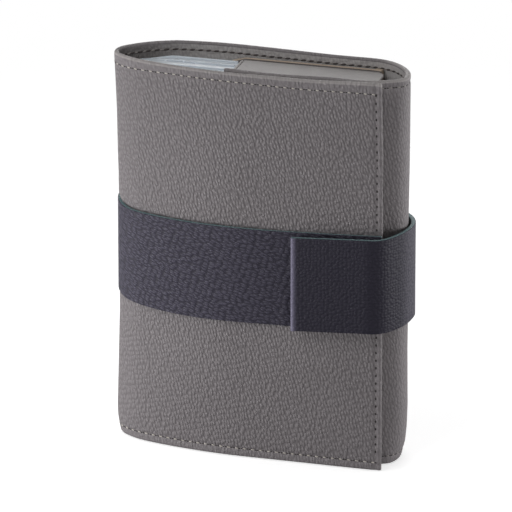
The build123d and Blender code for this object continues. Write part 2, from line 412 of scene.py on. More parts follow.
# Where a sheet is measured along its run: close together where a free end is rounded
def stations(span, free_start, free_end, step):
    start, end = span
    found = list(np.arange(start, end, step)) + [end]
    rounding = 1 - np.cos(np.linspace(0, math.pi / 2, end_steps))
    for free, at, way in ((free_start, start, 1), (free_end, end, -1)):
        if free:
            found += list(at + way * free * rounding)
            found += list(at + way * np.arange(free, end_band * free + end_band, end_step))
    found = np.sort(np.clip(found, start, end))
    kept = [found[0]]
    for distance in found[1:]:
        if distance - kept[-1] > least_step:
            kept.append(distance)
    kept[-1] = end
    return np.array(kept)


def edge_levels(low, high, rim):
    in_rim = np.arange(0, rim_band, level_step)
    fine = np.concatenate([in_rim, np.arange(rim_band, hem_depth + hem_overrun, level_step)])
    fine = fine[fine < (high - low) / 2 - rim]
    inner_low, inner_high = low + rim + fine[-1], high - rim - fine[-1]
    count = max(2, int((inner_high - inner_low) / middle_step))
    middle = np.linspace(inner_low, inner_high, count + 1)[1:-1]
    return np.concatenate([low + rim + fine, middle, (high - rim - fine)[::-1]])


# A sheet that follows a run, with rounded rims and, at a free end, a rounded end. Its plane is x and y, and
# levels are along z, or by its axes the plane is y and z and levels are along x.
def sheet(
    name, route, span, levels, depths, rim, materials,
    free_start=0, free_end=0, corner=0, step=1.0, relief=None, inner_depth=None, lift=None, trim=None,
    axes=(0, 1, 2), shape=None, flat_edge=False,
):
    low, high = levels
    outer, inner = depths
    half = (inner - outer) / 2
    middle = (inner + outer) / 2
    rim = min(rim, half)
    turns = np.linspace(0, math.pi / 2, wide_rim_steps if rim > wide_rim else narrow_rim_steps)[1:]
    if rim > half - full_round_gap:
        turns = turns * full_round_share
    face_levels = edge_levels(low, high, rim)
    level = np.concatenate([
        low + rim - rim * np.sin(turns[::-1]), face_levels, high - rim + rim * np.sin(turns),
    ])
    inset = np.concatenate([rim - rim * np.cos(turns[::-1]), 0 * face_levels, rim - rim * np.cos(turns)])
    along = stations(span, free_start, free_end, step)
    columns = 2 * len(level)
    loop_level = np.concatenate([level, level[::-1]])
    loop_depth = np.concatenate([outer + inset, (inner - inset)[::-1]])
    is_inner = np.arange(columns) >= len(level)
    points = np.zeros((len(along), columns, 3))
    for row, distance in enumerate(along):
        place = locate(route, distance)
        squeeze, cut = 1.0, 0.0
        for free, gap in ((free_start, distance - span[0]), (free_end, span[1] - distance)):
            if free and gap < free:
                end_inset = free - math.sqrt(max(free ** 2 - (free - gap) ** 2, 0))
                squeeze = min(squeeze, max(1 - end_inset / half, least_squeeze))
            if free and gap < corner:
                cut = max(cut, corner - math.sqrt(corner ** 2 - (corner - gap) ** 2))
        row_low, row_high = low + cut, high - cut
        if trim:
            row_low, row_high = trim(distance, row_low, row_high)
        row_level = row_low + (loop_level - low) * (row_high - row_low) / (high - low)
        depth = loop_depth.copy()
        if inner_depth:
            depth = np.where(is_inner, depth - (inner - inner_depth(distance, loop_level)), depth)
        depth = middle + (depth - middle) * squeeze
        if relief:
            depth = depth - np.where(is_inner, 0, relief(distance, loop_level))
        a, b = beside(place, depth)
        points[row, :, axes[0]] = a
        points[row, :, axes[1]] = b
        points[row, :, axes[2]] = row_level + (lift(distance) if lift else 0)
    count = len(along)
    grid = np.arange(count * columns).reshape(count, columns)
    after = np.roll(grid, -1, axis=1)
    quads = np.stack([grid[:-1], after[:-1], after[1:], grid[1:]], axis=-1).reshape(-1, 4)
    steps = np.hypot(np.diff(loop_level, append=loop_level[0]), np.diff(loop_depth, append=loop_depth[0]))
    lengths = np.concatenate([[0], np.cumsum(steps)]) + loop_level[0]
    mapped = np.stack(np.meshgrid(along, lengths, indexing="ij"), -1)
    corners = [mapped[:-1, :-1], mapped[:-1, 1:], mapped[1:, 1:], mapped[1:, :-1]]
    corners = np.stack(corners, axis=2).reshape(-1, 2)
    rim_columns = len(turns)
    column_kind = np.zeros(columns, int)
    column_kind[:rim_columns] = 1
    column_kind[len(level) - rim_columns - 1:len(level) + rim_columns] = 1
    column_kind[len(level) + rim_columns:] = 2
    column_kind[columns - rim_columns - 1:] = 1
    if flat_edge:
        column_kind[:len(level) - 1] = 0
    kinds = np.tile(column_kind, count - 1)
    faces, kinds, corners = list(quads), list(kinds), list(corners)
    for row, free, is_end in ((0, free_start, False), (count - 1, free_end, True)):
        if not free:
            continue
        for column in range(len(level) - 1):
            ring = [column, column + 1, columns - 2 - column, columns - 1 - column]
            if not is_end:
                ring = ring[::-1]
            faces.append([grid[row, c] for c in ring])
            kinds.append(1)
            corners += [(along[row] + (loop_depth[c] - outer), loop_level[c]) for c in ring]
    worn = [min(kind, len(materials) - 1) for kind in kinds]
    points = points.reshape(-1, 3)
    return add_object(name, shape(points) if shape else points, faces, materials, worn, corners)


# Materials: sizes on the run map are millimetres, and tones are written as a screen shows them
top_row = case_height - top_row_drop
end_begin = flap_begin - length_of([right_end])
hem_spans = ((top_row - 0.8, top_row + 0.4), (bottom_row_rise + 0.8, bottom_row_rise - 0.4))
edge_hem_span = (edge_row_inset + 1.0, edge_row_inset - 0.2)
smooth_end_spans = ((end_begin, end_begin + 12.0), (flap_begin + 22.0, flap_begin + 10.0))
# Wear and painted highlight on the top rim: where along the run it is palest, and the levels of the rim
wear_and_highlight_end_spans = ((flap_cut - 16.0, flap_cut), (flap_begin + 30.0, flap_begin + 12.0))
wear_and_highlight_cover_span = (fold_middle + 4.0, fold_middle - 6.0)
wear_and_highlight_rim_spans = ((case_height - 0.7, case_height - 0.1), (case_height + 2.8, case_height + 2.0))
# Painted shade: the distances from the fold's middle over which the leather goes over to its fold shade tone
fold_shade_tone_span = (40.0, 10.0)
fine_strap_span = (tail_begin - 22.0, tail_begin - 4.0)
dark_tail_span = (tail_begin + 4.0, tail_begin + 14.0)
# Painted shade: span along the front where the strap darkens towards and under the tail
tail_shade_span = (62.0, 34.0)
# Painted light: spans round the loop's turn where the strap is painted lighter
turn_light_spans = ((tail_begin - 24.0, tail_begin - 8.0), (tail_begin + 16.0, tail_begin + 6.0))
# Painted highlight: span of the tail's rolled tip that is painted paler
tip_highlight_span = (strap_end - 3.0, strap_end - 0.8)
hem_smoothing = 0.45
end_smoothing = 0.55
wrinkle_height = 1.1
fine_height = 0.4
# Wear and painted highlight: how far the top rim goes over to its pale tone, elsewhere and where it is palest
rim_wear_and_highlight = (0.2, 0.6)
# Painted shade: how far the grain's creases go over to their darker tones
case_crease_shade_share = 0.4
thin_crease_shade_share = 0.3
strap_crease_shade_share = 0.7
tail_grain_height = 0.4
strap_fine_height = 0.15
# Painted shade: how dark the strap is painted beside and under the tail
tail_shade_strength = 0.5
# Painted shade: the darker tone of the case leather's grain creases
case_crease_shade_tone = (84, 79, 81)
# Wear and painted highlight: the pale tone of the top rim
wear_and_highlight_rim_tone = (180, 175, 173)
strap_tones = ((70, 67, 81), (79, 76, 90))
# Painted light: the lighter tone of the strap round the loop's turn
turn_light_tone = (96, 93, 105)
strap_tail_tone = (41, 38, 52)
# Painted shade: the darker tone of the strap grain's creases
strap_crease_shade_tone = (26, 24, 34)
# Painted highlight: the pale tone of the tail's rolled tip
tip_highlight_tone = (116, 112, 132)
strap_edge_tones = ((76, 102, 108), (124, 150, 153))
strap_fleck_tone = (178, 194, 194)
hook_tones = ((26, 25, 33), (62, 59, 72))
plastic_index = 1.46
plastic_haze = 0.12


def add_node(tree, kind, inputs=(), **settings):
    made = tree.nodes.new(f"ShaderNode{kind}")
    for key, value in settings.items():
        setattr(made, key, value)
    for key, value in dict(inputs).items():
        if isinstance(value, bpy.types.NodeSocket):
            tree.links.new(value, made.inputs[key])
        else:
            made.inputs[key].default_value = value
    return made


def math_node(operation, first, second=0.0, clamp=False):
    tree = (second if isinstance(first, float) else first).id_data
    made = add_node(tree, "Math", {0: first, 1: second}, operation=operation, use_clamp=clamp)
    return made.outputs[0]


def times(first, second):
    return math_node("MULTIPLY", first, second)


def plus(first, second):
    return math_node("ADD", first, second)


def without(share):
    return math_node("SUBTRACT", 1.0, share)


def larger(first, second):
    return math_node("MAXIMUM", first, second)


def ramp(value, low, high, out_low=0.0, out_high=1.0):
    inputs = {"Value": value, "From Min": low, "From Max": high, "To Min": out_low, "To Max": out_high}
    settings = {"interpolation_type": "SMOOTHSTEP"}
    return add_node(value.id_data, "MapRange", inputs, **settings).outputs[0]


def between(value, rise, fall):
    return times(ramp(value, *rise), ramp(value, *fall))


def colour(red, green, blue):
    def linear(value):
        value /= 255
        return value / 12.92 if value <= 0.04045 else ((value + 0.055) / 1.055) ** 2.4

    return linear(red), linear(green), linear(blue), 1.0


def mix_colour(share, first, second):
    tree = share.id_data
    made = add_node(tree, "Mix", {0: share}, data_type="RGBA")
    for socket, tone in ((made.inputs[6], first), (made.inputs[7], second)):
        if isinstance(tone, bpy.types.NodeSocket):
            tree.links.new(tone, socket)
        else:
            socket.default_value = colour(*tone)
    return made.outputs[2]


def new_material(name, roughness=0.5, specular=0.5, sheen=0.0):
    material = bpy.data.materials.new(name)
    material.use_nodes = True
    shader = material.node_tree.nodes["Principled BSDF"]
    shader.inputs["Roughness"].default_value = roughness
    shader.inputs["Specular IOR Level"].default_value = specular
    shader.inputs["Sheen Weight"].default_value = sheen
    return material, shader


def wire(shader, name, value):
    shader.id_data.links.new(value, shader.inputs[name])


def bump(shader, height, distance):
    inputs = {"Height": height, "Strength": 1.0, "Distance": distance * MM}
    wire(shader, "Normal", add_node(shader.id_data, "Bump", inputs).outputs[0])


def run_map(shader):
    return add_node(shader.id_data, "UVMap", uv_map="run").outputs[0]


def run_parts(mapped):
    parts = add_node(mapped.id_data, "SeparateXYZ", {0: mapped})
    return parts.outputs[0], parts.outputs[1]


def object_place(shader):
    return add_node(shader.id_data, "TexCoord").outputs["Object"]


def noise(vector, scale, detail=2.0, roughness=0.5, dimensions="2D"):
    inputs = {"Vector": vector, "Scale": scale, "Detail": detail, "Roughness": roughness}
    return add_node(vector.id_data, "TexNoise", inputs, noise_dimensions=dimensions).outputs[0]


def scaled(vector, factors):
    inputs = {0: vector, 1: (*factors, 1)}
    return add_node(vector.id_data, "VectorMath", inputs, operation="MULTIPLY").outputs[0]


def cells(vector, randomness, feature="F1"):
    inputs = {"Vector": vector, "Scale": 1.0, "Randomness": randomness}
    settings = {"voronoi_dimensions": "2D", "feature": feature}
    return add_node(vector.id_data, "TexVoronoi", inputs, **settings).outputs["Distance"]


# A vector pushed about by slow noise, so that what is laid out on it wanders
def wandering(vector, size, wander, base):
    tree = vector.id_data
    inputs = {"Vector": vector, "Scale": 0.5 / max(size), "Detail": 2.0}
    drift = add_node(tree, "TexNoise", inputs, noise_dimensions="2D").outputs["Color"]
    centre = {0: drift, 1: (0.5, 0.5, 0.5)}
    centred = add_node(tree, "VectorMath", centre, operation="SUBTRACT").outputs[0]
    push = {0: centred, 1: (wander, wander, 0), 2: base}
    return add_node(tree, "VectorMath", push, operation="MULTIPLY_ADD").outputs[0]


# Grain of rounded scales, each of the given size on axes turned by an angle, as height from their borders up
def scales(vector, size, angle, wander):
    pushed = wandering(vector, size, wander, vector)
    turn = {"Vector": pushed, "Rotation": (0, 0, math.radians(angle)), "Scale": (*size, 1)}
    turned = add_node(vector.id_data, "Mapping", turn, vector_type="TEXTURE").outputs[0]
    return ramp(cells(turned, randomness=0.65), low=0.7, high=0.1)


# Pebbled grain: cells of the given size whose borders wander, as height from the creases up
def pebbles(vector, cell, wander, crease=0.3):
    pushed = wandering(vector, cell, wander, scaled(vector, (1 / cell[0], 1 / cell[1])))
    return ramp(cells(pushed, randomness=0.95, feature="DISTANCE_TO_EDGE"), low=0.0, high=crease)


# The wallet's leather: grain with painted shade in its creases, wrinkled hems, a smoother right end, painted
# fold shade, and a top rim paler from wear and a painted highlight
def case_leather(name, tones, fold_shade_tone):
    material, shader = new_material(name, roughness=0.55, specular=0.3)
    mapped = run_map(shader)
    u, v = run_parts(mapped)
    grain = scales(mapped, size=(1.2, 2.0), angle=-15.0, wander=0.8)
    fine = noise(mapped, scale=2.4, detail=3.0, roughness=0.6)
    wrinkles = noise(scaled(mapped, (1.0, 0.12)), scale=1.3, detail=3.0, roughness=0.55)
    above, below = (ramp(v, *span) for span in hem_spans)
    hem = larger(larger(above, below), ramp(u, *edge_hem_span))
    smooth_end = times(between(u, *smooth_end_spans), end_smoothing)
    share = times(without(times(hem, hem_smoothing)), without(smooth_end))
    height = plus(times(grain, share), times(times(wrinkles, hem), wrinkle_height))
    bump(shader, plus(height, times(fine, fine_height)), distance=0.32)
    drift = noise(mapped, scale=0.035, detail=3.0)
    # Painted shade: towards the fold's middle the tone goes over to the fold shade tone, which on the inner
    # face is much darker
    from_fold = math_node("ABSOLUTE", math_node("SUBTRACT", u, fold_middle))
    fold_shade = ramp(from_fold, *fold_shade_tone_span)
    tone = mix_colour(fold_shade, mix_colour(drift, *tones), fold_shade_tone)
    # Painted shade: the grain's creases are painted darker
    crease = times(without(grain), share)
    dark = mix_colour(times(crease, case_crease_shade_share), tone, case_crease_shade_tone)
    # Wear and painted highlight: the top rim is painted paler, most on the front cover and round the right
    # end, where light falls
    on_cover = ramp(u, *wear_and_highlight_cover_span)
    on_end = between(u, *wear_and_highlight_end_spans)
    wear_and_highlight_share = ramp(plus(on_cover, on_end), 0.0, 1.0, *rim_wear_and_highlight)
    worn = times(between(v, *wear_and_highlight_rim_spans), wear_and_highlight_share)
    wire(shader, "Base Color", mix_colour(worn, dark, wear_and_highlight_rim_tone))
    wire(shader, "Roughness", ramp(grain, 0.0, 1.0, out_low=0.64, out_high=0.5))
    return material


# Thin leather with a fine grain, and painted shade in its creases where it has a tone for them
def thin_leather(name, cell, wander, depth, drift_scale, tones, crease_shade_tone=None, **finish):
    material, shader = new_material(name, **finish)
    mapped = run_map(shader)
    grain = pebbles(mapped, cell, wander)
    bump(shader, grain, depth)
    tone = mix_colour(noise(mapped, drift_scale, detail=3.0), *tones)
    # Painted shade: the grain's creases are painted darker
    if crease_shade_tone:
        tone = mix_colour(times(without(grain), thin_crease_shade_share), tone, crease_shade_tone)
    wire(shader, "Base Color", tone)
    return material


# The strap's leather: coarse grain with painted shade in its creases, finer on the tail, painted light on the
# turn, painted shade beside the tail, and a painted highlight on the tip
def strap_leather():
    material, shader = new_material("strap_leather", roughness=0.45, specular=0.2)
    mapped = run_map(shader)
    u, _ = run_parts(mapped)
    coarse = scales(mapped, size=(2.5, 0.95), angle=16.0, wander=0.9)
    close = scales(mapped, size=(1.5, 1.3), angle=0.0, wander=0.8)
    finer = ramp(u, *fine_strap_span)
    coarse_part = times(coarse, without(finer))
    grain = plus(coarse_part, times(times(close, finer), tail_grain_height))
    fine = noise(mapped, scale=3.0, detail=3.0)
    bump(shader, plus(grain, times(fine, strap_fine_height)), distance=0.34)
    drift = noise(mapped, scale=0.05, detail=3.0)
    body = mix_colour(drift, *strap_tones)
    # Painted light: the strap is painted lighter round the turn of its loop, where light falls on it from the
    # right
    body = mix_colour(between(u, *turn_light_spans), body, turn_light_tone)
    # Painted shade: the strap in front is painted darker beside and under the tail; the tail itself takes a
    # darker tone
    tail_shade = times(ramp(u, *tail_shade_span), tail_shade_strength)
    darker = larger(ramp(u, *dark_tail_span), tail_shade)
    tone = mix_colour(darker, body, strap_tail_tone)
    # Painted shade: the strap grain's creases are painted darker
    dark = mix_colour(times(without(grain), strap_crease_shade_share), tone, strap_crease_shade_tone)
    # Painted highlight: the tail's rolled tip is painted paler, where light from the left catches it
    wire(shader, "Base Color", mix_colour(ramp(u, *tip_highlight_span), dark, tip_highlight_tone))
    wire(shader, "Roughness", ramp(grain, 0.0, 1.0, out_low=0.56, out_high=0.4))
    return material


def strap_edge():
    material, shader = new_material("strap_edge", roughness=0.6, specular=0.25)
    mapped = run_map(shader)
    fibres = noise(mapped, scale=0.9, detail=4.0, roughness=0.7)
    flecks = ramp(noise(mapped, scale=2.1), low=0.58, high=0.68)
    base = mix_colour(fibres, *strap_edge_tones)
    wire(shader, "Base Color", mix_colour(flecks, base, strap_fleck_tone))
    bump(shader, fibres, distance=0.15)
    return material


# Fibres or nap: one noise as both tone and height, on the run map or through the piece itself
def fibrous(name, tones, depth, scale, detail, contrast=0.5, on_run=True, **finish):
    material, shader = new_material(name, **finish)
    place, dimensions = (run_map(shader), "2D") if on_run else (object_place(shader), "3D")
    fibres = noise(place, scale, detail, contrast, dimensions)
    wire(shader, "Base Color", mix_colour(fibres, *tones))
    bump(shader, fibres, depth)
    return material


def thread(name, *tones):
    finish = {"roughness": 0.65, "specular": 0.25}
    return fibrous(name, tones, depth=0.05, scale=2600.0, detail=1.0, on_run=False, **finish)


def hook_cloth():
    material, shader = new_material("hook_cloth", roughness=0.6, specular=0.3)
    spots = cells(scaled(run_map(shader), (0.9, 1.1)), randomness=0.25)
    hooks = ramp(spots, low=0.42, high=0.12)
    wire(shader, "Base Color", mix_colour(hooks, *hook_tones))
    bump(shader, hooks, distance=0.4)
    return material


def plastic(name, tone, shade, transmission, roughness):
    material, shader = new_material(name, roughness=roughness, specular=0.5)
    shader.inputs["Transmission Weight"].default_value = transmission
    shader.inputs["IOR"].default_value = plastic_index
    place = object_place(shader)
    cloud = noise(place, scale=45.0, detail=3.0, dimensions="3D")
    wire(shader, "Base Color", mix_colour(cloud, tone, shade))
    wire(shader, "Roughness", ramp(cloud, 0.3, 0.7, out_low=roughness, out_high=roughness + plastic_haze))
    bump(shader, noise(place, scale=160.0, detail=1.0, dimensions="3D"), distance=0.03)
    return material


leather = case_leather("case_leather", tones=((118, 113, 115), (128, 123, 125)), fold_shade_tone=(123, 118, 120))
# Painted light: a lighter copy of the case leather for the inner face of the wallet's sheets, standing in for
# light inside the opening
lit_inner_leather = case_leather(
    "lit_inner_leather", tones=((180, 176, 175), (194, 190, 189)), fold_shade_tone=(128, 124, 123),
)
lining = thin_leather(
    "lining_leather", cell=(0.9, 1.1), wander=0.6, depth=0.12, drift_scale=0.06,
    tones=((152, 147, 146), (164, 159, 157)), crease_shade_tone=(94, 89, 88), roughness=0.6, specular=0.3,
)
tab_face = thin_leather(
    "tab_leather", cell=(0.7, 0.8), wander=0.5, depth=0.06, drift_scale=0.08,
    tones=((144, 140, 139), (158, 154, 153)), roughness=0.5, specular=0.4,
)
pocket_face = thin_leather(
    "pocket_leather", cell=(0.9, 1.1), wander=0.6, depth=0.1, drift_scale=0.05,
    tones=((116, 111, 110), (128, 123, 121)), crease_shade_tone=(90, 85, 84), roughness=0.6, specular=0.3,
)
raw_edge = fibrous(
    "raw_edge", tones=((168, 150, 132), (206, 190, 172)), depth=0.12, scale=1.8, detail=4.0, contrast=0.7,
    roughness=0.75, specular=0.2,
)
strap_inside = fibrous(
    "strap_inside", tones=((36, 52, 60), (56, 76, 83)), depth=0.08, scale=1.6, detail=5.0, contrast=0.7,
    roughness=0.8, specular=0.2, sheen=0.15,
)
loop_cloth = fibrous(
    "loop_cloth", tones=((34, 32, 44), (66, 62, 78)), depth=0.35, scale=2.6, detail=5.0, contrast=0.75,
    roughness=0.9, specular=0.15, sheen=0.4,
)
cardboard = fibrous(
    "cardboard", tones=((134, 116, 94), (172, 154, 130)), depth=0.05, scale=700.0, detail=5.0, contrast=0.7,
    on_run=False, roughness=0.85, specular=0.15,
)
pale_thread = thread("pale_thread", (206, 200, 190), (168, 162, 154))
# Painted shade: a darker copy of the pale thread, used on the back and flap rows, the inside rows and the tab
shaded_thread = thread("shaded_thread", (158, 153, 149), (128, 123, 120))
# Painted shade: dark ellipsoids set at the stitch holes stand in for the shade in them; the inside rows take
# a lighter copy
hole_shade = thread("hole_shade", (52, 47, 47), (34, 31, 31))
inner_shade = thread("inner_hole_shade", (86, 80, 79), (64, 59, 58))
strap_faces = [strap_leather(), strap_edge(), strap_inside]
pocket_faces = [pocket_face, raw_edge, pocket_face]
node_materials = {
    "pill_tray": plastic("tray_plastic", (218, 227, 236), (234, 240, 246), transmission=0.25, roughness=0.2),
    "day_box": plastic("box_plastic", (206, 213, 220), (222, 228, 233), transmission=0.5, roughness=0.22),
    "day_lid": plastic("lid_plastic", (150, 182, 210), (170, 198, 222), transmission=0.6, roughness=0.18),
    "cover_board": cardboard,
    "back_board": cardboard,
}
tray_plastic = node_materials["pill_tray"]
for name, node in nodes.items():
    for start_of_name, material in node_materials.items():
        if name.startswith(start_of_name):
            node.data.materials.clear()
            node.data.materials.append(material)


# The wallet's sheets
edge_round = hem_thickness / 2
lining_start = hem_depth + hem_step
lining_stop = wallet_end - lining_start


def top_drop(distance):
    end_marks = (flap_cut - end_row_lead, flap_cut, flap_begin + end_row_hold, flap_begin + end_row_fade)
    end_drops = (top_row_drop, end_row_drop, end_row_drop, top_row_drop)
    marks = (*cover_row_marks, cover_cut, *end_marks)
    return float(np.interp(distance, marks, (*cover_row_drops, top_row_drop, *end_drops)))


def groove(distance, level):
    top = bell(level, case_height - top_drop(distance), groove_width)
    bottom = bell(level, bottom_row_rise, groove_width)
    edge = bell(distance, edge_row_inset, groove_width)
    at_fold = bell(distance, fold_middle, fold_smoothing)
    return -groove_depth * (1 - at_fold) * np.maximum(np.maximum(top, bottom), edge)


def undulation(distance, level):
    along, up, drift = slow_lengths
    slow = np.sin(distance / along + slow_start) * np.sin(level / up + distance / drift)
    along, up = quick_lengths
    return slow_wave * slow + quick_wave * np.sin(distance / along + level / up)


def wallet_relief(distance, level):
    return groove(distance, level) + undulation(distance, level)


def hem(distance, level):
    in_rim = np.minimum(level, case_height - level) < hem_depth
    in_end = min(distance, wallet_end - distance) < hem_depth
    return np.where(in_rim | in_end, hem_thickness, leather_thickness)


# The sheets take the case leather outside and on their rims, and its lighter copy, painted light, on their
# inner face
def wallet_sheet(name, span, node, shape=wallet_shape, **ends):
    levels, depths = (0, case_height), (0, hem_thickness)
    piece = sheet(
        name, wallet, span, levels, depths, edge_round, [leather, leather, lit_inner_leather],
        relief=wallet_relief, inner_depth=hem, shape=shape, **ends,
    )
    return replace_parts(piece, node)


def lining_sheet(name, span, node, shape=wallet_shape, **ends):
    levels, depths = (lining_start, case_height - lining_start), (lining_outer, lining_inner)
    piece = sheet(
        name, wallet, span, levels, depths, lining_edge, [lining], step=lining_step, shape=shape, **ends,
    )
    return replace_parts(piece, node)


cover_skin = wallet_sheet(
    "cover_skin", (0, cover_cut), "cover_leather", free_start=edge_round, corner=cover_corner,
)
spine_skin = wallet_sheet("spine_skin", (cover_cut, spine_cut), "spine_front_leather")
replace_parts(spine_skin, "spine_rear_leather")
back_skin = wallet_sheet("back_skin", (spine_cut, flap_cut), "back_leather")
flap_skin = wallet_sheet(
    "flap_skin", (flap_cut, wallet_end), "flap_leather", flap_shape, free_end=edge_round, corner=cover_corner,
)
cover_inside = lining_sheet("cover_inside", (lining_start, cover_cut), "cover_lining", free_start=lining_edge)
spine_inside = lining_sheet("spine_inside", (cover_cut, spine_cut), "spine_front_lining")
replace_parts(spine_inside, "spine_rear_lining")
back_inside = lining_sheet("back_inside", (spine_cut, flap_cut), "back_lining")
flap_inside = lining_sheet(
    "flap_inside", (flap_cut, lining_stop), "flap_lining", flap_shape, free_end=lining_edge,
)


# Stitching
def stitch_form(rings=5, sides=8):
    form = [(-1, 0, 0)]
    for ring in range(1, rings):
        angle = math.pi * ring / rings
        width = math.sin(angle)
        for side in range(sides):
            turn = 2 * math.pi * side / sides
            form.append((-math.cos(angle), width * math.cos(turn), width * math.sin(turn)))
    form.append((1, 0, 0))
    last = len(form) - 1
    faces = []
    for side in range(sides):
        after = (side + 1) % sides
        faces.append((0, 1 + after, 1 + side))
        for ring in range(rings - 2):
            first = 1 + ring * sides
            faces.append((first + side, first + after, first + sides + after, first + sides + side))
        tail = 1 + (rings - 2) * sides
        faces.append((tail + side, tail + after, last))
    return np.array(form), faces


stitch_points, stitch_faces = stitch_form()


# One stitch or hole: an ellipsoid on a sheet, its length along the run or up the sheet
def stitch_at(route, distance, level, depth, size, upright=False, slant=0.0):
    place = locate(route, distance)
    x, y = beside(place, depth)
    run_way = np.array([cosine(place[2]), sine(place[2]), 0])
    up_way = np.array([0, 0, 1.0])
    out_way = np.array([-sine(place[2]), cosine(place[2]), 0])
    if upright:
        run_way, up_way = up_way, run_way
    tilted = run_way * cosine(slant) + up_way * sine(slant)
    across = up_way * cosine(slant) - run_way * sine(slant)
    long, wide, high = size
    axes = np.stack([tilted * long / 2, across * wide / 2, out_way * high / 2])
    return np.array([x, y, level]) + stitch_points @ axes


def stitching(name, thread_forms, hole_forms, materials, shape=wallet_shape):
    points, faces, kinds = [], [], []
    for kind, forms in enumerate((thread_forms, hole_forms)):
        for form in forms:
            first = len(points)
            points.extend(form)
            faces.extend([tuple(first + corner for corner in face) for face in stitch_faces])
            kinds.extend([kind] * len(stitch_faces))
    return add_object(name, shape(np.array(points)), faces, materials, kinds)


# Stitch and hole sizes; the holes are dark ellipsoids of painted shade
outer_stitch = (1.5, 0.6, 0.5)
outer_hole = (0.95, 0.55, 0.24)
edge_hole = (1.15, 0.85, 0.34)
hole_offset = 1.15
inner_stitch = (1.5, 0.7, 0.6)
inner_hole = (2.6, 0.9, 0.3)
stitch_slant = 7.0
stitch_sink = 0.1
edge_stitch_sink = 0.2


def rim_rows(span, inside):
    threads, holes = [], []
    first, last = (math.ceil(distance / row_pitch) for distance in span)
    size, hole = (inner_stitch, inner_hole) if inside else (outer_stitch, outer_hole)
    for count in range(first, last):
        shifts = [(holes, row_pitch / 2, hole)]
        if not inside:
            shifts = [(holes, -hole_offset, hole), (holes, hole_offset, hole)]
        for forms, shift, form in [(threads, 0, size)] + shifts:
            distance = min(count * row_pitch + shift, wallet_end - row_end_gap)
            rows = (case_height - top_drop(distance), bottom_row_rise)
            if inside:
                rows = (case_height - inner_row_drop, inner_row_drop)
            for level in rows:
                lift = float(wallet_relief(distance, level))
                depth = hem_thickness if inside else stitch_sink * (form is size) - lift
                forms.append(stitch_at(wallet, distance, level, depth, form, slant=stitch_slant))
    return threads, holes


def edge_rows(distance):
    threads, holes = [], []
    for count in range(edge_row_first, int(case_height / edge_row_pitch) - 1):
        level = count * edge_row_pitch
        lift = float(wallet_relief(distance, level))
        threads.append(stitch_at(wallet, distance, level, edge_stitch_sink - lift, outer_stitch, True))
        holes.append(stitch_at(wallet, distance, level + edge_row_pitch / 2, -lift, edge_hole, True))
    return threads, holes


def wallet_stitching(name, span, edge=None, shape=wallet_shape, yarn=None):
    outer_threads, outer_holes = rim_rows(span, False)
    inner_threads, inner_holes = rim_rows(span, True)
    if edge is not None:
        more_threads, more_holes = edge_rows(edge)
        outer_threads += more_threads
        outer_holes += more_holes
    outer_yarns = [yarn or pale_thread, hole_shade]
    outside = stitching(f"{name}_stitches", outer_threads, outer_holes, outer_yarns, shape)
    inner_yarns = [shaded_thread, inner_shade]
    inside = stitching(f"{name}_inner_stitches", inner_threads, inner_holes, inner_yarns, shape)
    return [outside, inside]


cover_stitches = wallet_stitching("cover", (edge_row_inset, cover_cut), edge_row_inset)
spine_stitches = wallet_stitching("spine", (cover_cut, spine_cut))
# The back's and the flap's rows take the darker copy of the thread, painted shade
back_stitches = wallet_stitching("back", (spine_cut, flap_cut), yarn=shaded_thread)
flap_row = wallet_end - edge_row_inset
flap_stitches = wallet_stitching("flap", (flap_cut, flap_row), flap_row, flap_shape, shaded_thread)


# The strap's sheets
front_lifts = (1.8, 0.8, 0.3, 0.1)
front_lift_marks = (0.0, 40.0, 75.0, 105.0)
fold_lift_before = 13.0
fold_lift_after = 2.5
loop_lift = 1.8
turn_lift = 1.3
tip_drop = -0.9
strap_edge_round = 0.3
tail_fold_round = 0.85
front_dips = (0, -0.5, -0.85, -0.5, 0)
front_dip_marks = (0, 20, 46, 80, 110)
loop_narrowing = 1.5
loop_narrow_reach = 14.0
tail_narrowing = 1.2
tail_roll = 0.35
tail_roll_width = 0.8
tail_roll_inset = 1.1
strap_dip = 0.5
dip_start = 62.0
dip_end = 38.0
crease_place = 39.0
crease_width = 1.7
crease_height = 0.3
crease_top_gap = 14.0
crease_bottom_gap = 8.0


def strap_lift(distance):
    before_fold = np.interp(distance, front_lift_marks, front_lifts)
    after_marks = (strap_fold_middle, loop_begin, tail_begin, strap_end - tail_length, strap_end)
    after_lifts = (fold_lift, loop_lift, turn_lift, turn_lift, tip_drop)
    after_fold = np.interp(distance, after_marks, after_lifts)
    share = smooth_step(strap_fold_middle - fold_lift_before, strap_fold_middle + fold_lift_after, distance)
    return float(before_fold + (after_fold - before_fold) * share)


def strap_trim(distance, low, high):
    dip = np.interp(distance, front_dip_marks, front_dips)
    near = bell(distance, tail_begin, loop_narrow_reach)
    at_fold = bell(distance, strap_fold_middle, fold_narrow_reach)
    narrowed = max(loop_narrowing * near, tail_narrowing if distance > tail_begin else 0)
    return low + narrowed + fold_narrowing * at_fold, high + dip


def strap_relief(distance, level):
    roll = tail_roll * bell(distance, strap_end - tail_roll_inset, tail_roll_width)
    crease = crease_height * bell(distance, crease_place, crease_width)
    lower = smooth_step(strap_top - crease_top_gap, strap_bottom + crease_bottom_gap, level)
    dip = strap_dip * smooth_step(dip_start, dip_end, distance)
    return roll + crease * lower - dip


def strap_sheet(name, span, *replaced, **ends):
    piece = sheet(
        name, strap, span, (strap_bottom, strap_top), (0, strap_thickness), strap_edge_round, strap_faces,
        lift=strap_lift, trim=strap_trim, relief=strap_relief, shape=strap_shape, flat_edge=True, **ends,
    )
    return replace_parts(piece, *replaced)


